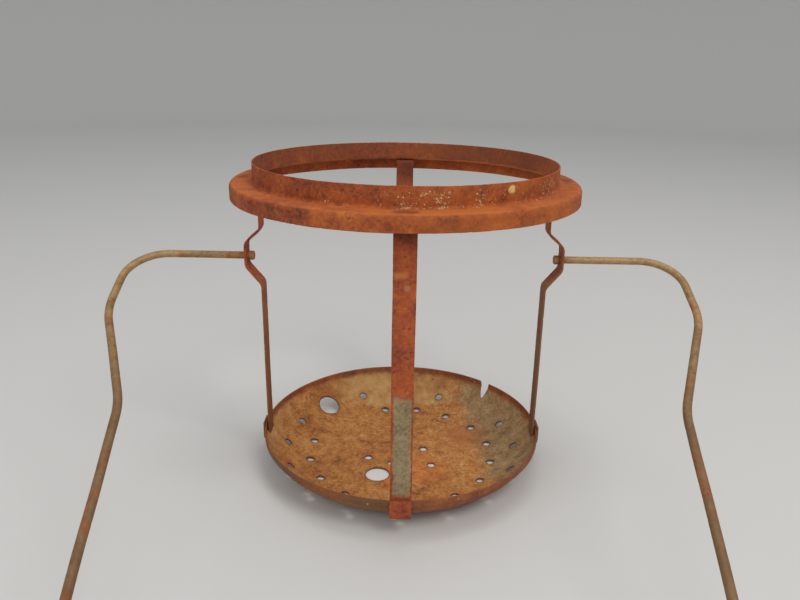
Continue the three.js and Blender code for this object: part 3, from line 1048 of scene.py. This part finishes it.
def crumbTree():
    board, given = newTree("crumbs of scale", {
        "Density": "Float", "Smallest": "Float", "Largest": "Float", "Seed": "Int", "Towards": "Vector",
        "Patch": "Float", "Lowest": "Float", "Highest": "Float", "Farthest": "Float", "Rise": "Float",
        "Material": "Material"})
    place = board.add("GeometryNodeInputPosition")
    depth = board.add("ShaderNodeSeparateXYZ", {}, {0: place}, 1)
    height = depth.other(2)
    normal = board.add("GeometryNodeInputNormal")
    within = board.rise(height, given["Lowest"], given["Lowest"] + 0.001)
    within = within * (1 - board.rise(height, given["Highest"] - 0.001, given["Highest"]))
    within = within * (1 - board.rise(depth, given["Farthest"] - 0.01, given["Farthest"]))
    facing = board.rise(board.vector("DOT_PRODUCT", normal, given["Towards"], output=1), 0.1, 0.6)
    patches = board.rise(board.noise(place, 14, 3, 0.6, 0, 5), given["Patch"], given["Patch"] + 0.12)
    spread = board.add("GeometryNodeDistributePointsOnFaces", {"distribute_method": "RANDOM"}, {
        "Mesh": given["Geometry"], "Density": within * facing * patches * given["Density"],
        "Seed": given["Seed"]}, "Points")
    turn = spread.other("Rotation")
    crumb = board.add("GeometryNodeMeshIcoSphere", {}, {"Radius": 1.0, "Subdivisions": 1})
    uneven = board.noise(place, 900, 2, 0.6, 0, 3).other("Color")
    uneven = board.vector("SUBTRACT", uneven, (0.5, 0.5, 0.5))
    crumb = shift(board, crumb, board.vector("SCALE", uneven, scale=1.3))
    pick = board.add("FunctionNodeRandomValue", {"data_type": "FLOAT"}, {2: 0.0, 3: 1.0, "Seed": 3}, 1)
    pick = pick * pick * pick
    width = given["Smallest"] + (given["Largest"] - given["Smallest"]) * pick
    size = board.add("ShaderNodeCombineXYZ", {}, {0: width, 1: width * 0.75, 2: width * given["Rise"]})
    crumbs = board.add("GeometryNodeInstanceOnPoints", {}, {
        "Points": spread, "Instance": crumb, "Rotation": turn, "Scale": size})
    spin = board.add("FunctionNodeRandomValue", {"data_type": "FLOAT"}, {2: 0.0, 3: 6.28, "Seed": 5}, 1)
    spin = board.add("ShaderNodeCombineXYZ", {}, {2: spin})
    crumbs = board.add("GeometryNodeRotateInstances", {}, {
        "Instances": crumbs, "Rotation": spin, "Local Space": True})
    tone = board.add("FunctionNodeRandomValue", {"data_type": "FLOAT"}, {2: 0.0, 3: 1.0, "Seed": 9}, 1)
    crumbs = board.add("GeometryNodeStoreNamedAttribute", {"data_type": "FLOAT", "domain": "INSTANCE"}, {
        "Geometry": crumbs, "Name": "tone", "Value": tone})
    return closeTree(board, crumbs, given["Material"])


crumbLots = {
    "ring_crumbs": (ringPiece, "ring_sheet", {
        "Density": 3.2e5, "Smallest": 0.16 * mm, "Largest": 0.8 * mm, "Seed": 11, "Patch": 0.46,
        "Towards": (0.5, -0.85, 0.1), "Lowest": 195.6 * mm, "Highest": 204.5 * mm,
        "Farthest": -10 * mm, "Rise": 0.5}),
    "pan_crumbs": (panPiece, "pan_sheet", {
        "Density": 6e4, "Smallest": 0.15 * mm, "Largest": 0.8 * mm, "Seed": 12, "Patch": 0.5,
        "Towards": (0.0, -0.5, 0.85), "Lowest": 0.5 * mm, "Highest": 24.4 * mm,
        "Farthest": 0.2, "Rise": 0.4}),
}


def scatterCrumbs():
    tree = crumbTree()
    low, high = (np.array(corner) for corner in cadBox)
    for name, (surface, slot, values) in crumbLots.items():
        finish = crustFinish(crustPaint, name.replace("_", " "))
        piece = grow(tree, surface, {**values, "Material": finish}, name)
        mesh = piece.data
        mesh.vertices.foreach_set("co", np.clip(vertexPlaces(mesh), low, high).ravel())
        smoothed(mesh)
        mesh.update()
        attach(piece, "stand")
        print(name, len(mesh.polygons), "faces")


scatterCrumbs()


studio = {
    "floor": (0.68, 0.68, 0.67),
    "reach": 3.4,
    "curve": 0.8,
    "wall": 0.85,
    "world": (0.88, 0.88, 0.88),
    "worldStrength": 0.5,
    "lamps": {  # place, size, power, colour
        "key lamp": ((0.75, -0.9, 1.5), 0.8, 9, (1.0, 0.97, 0.93)),
        "front lamp": ((-0.1, -1.3, 1.0), 0.8, 3.2, (1.0, 0.98, 0.95)),
        "fill lamp": ((-1.3, -0.9, 0.9), 1.2, 3, (0.95, 0.97, 1.0)),
        "top lamp": ((0.1, 0.1, 1.7), 0.8, 4.5, (1.0, 0.98, 0.95)),
    },
}


def buildStudio():
    finish = Finish("floor")
    tone = finish.mixed(finish.spots(400, 2, 0.5, 1) * 0.1, studio["floor"], (0.6, 0.6, 0.59))
    finish.close(tone, 0.9, 0.0, finish.spots(3, 2, 0.5, 2) * 0.02)
    # a flat floor that curves up into a wall all round, well clear of the lamps
    reach, curve, wall = studio["reach"], studio["curve"], studio["wall"]
    profile = [(0, 0), (0.5, 0), (1.2, 0)]
    profile += [(reach - curve + curve * math.sin(a), curve - curve * math.cos(a))
                for a in np.linspace(0, math.pi / 2, 17)] + [(reach, wall)]
    work = bmesh.new()
    edges = [work.verts.new((r, 0, z - 0.0002)) for r, z in profile]
    edges = [work.edges.new(pair) for pair in zip(edges, edges[1:])]
    bmesh.ops.spin(work, geom=edges, axis=(0, 0, 1), cent=(0, 0, 0), steps=96, angle=2 * math.pi,
                   use_duplicate=False)
    bmesh.ops.remove_doubles(work, verts=work.verts, dist=1e-5)
    bmesh.ops.recalc_face_normals(work, faces=work.faces)
    floor = fromWork(work, "floor")
    smoothed(floor.data)
    floor.data.materials.append(finish.material)
    world = bpy.data.worlds.new("studio")
    world.use_nodes = True
    world.node_tree.nodes["Background"].inputs[0].default_value = (*studio["world"], 1)
    world.node_tree.nodes["Background"].inputs[1].default_value = studio["worldStrength"]
    bpy.context.scene.world = world
    aim = Vector((0, 0, 0.09))
    for name, (place, size, power, colour) in studio["lamps"].items():
        light = bpy.data.lights.new(name, "AREA")
        light.shape, light.size, light.energy, light.color = "DISK", size, power, colour
        lamp = newObject(name, light)
        lamp.location = place
        lamp.rotation_euler = (aim - Vector(place)).to_track_quat("-Z", "Y").to_euler()
    bpy.context.scene.view_settings.view_transform = "Standard"


cameraSet = {"place": (-2.4, -443.7, 268.1), "pitch": 18.98, "yaw": 0.03, "roll": 0.95, "lens": 31.88}


def buildCamera():
    data = bpy.data.cameras.new("camera")
    data.lens, data.sensor_width = cameraSet["lens"], 36
    data.clip_start = 0.01
    camera = newObject("camera", data)
    tilt = Euler((math.radians(90 - cameraSet["pitch"]), 0, -math.radians(cameraSet["yaw"])))
    camera.matrix_world = (Matrix.Translation([c * mm for c in cameraSet["place"]])
                           @ tilt.to_matrix().to_4x4()
                           @ Matrix.Rotation(math.radians(cameraSet["roll"]), 4, "Z"))
    bpy.context.scene.camera = camera


buildStudio()
buildCamera()
print("studio set")
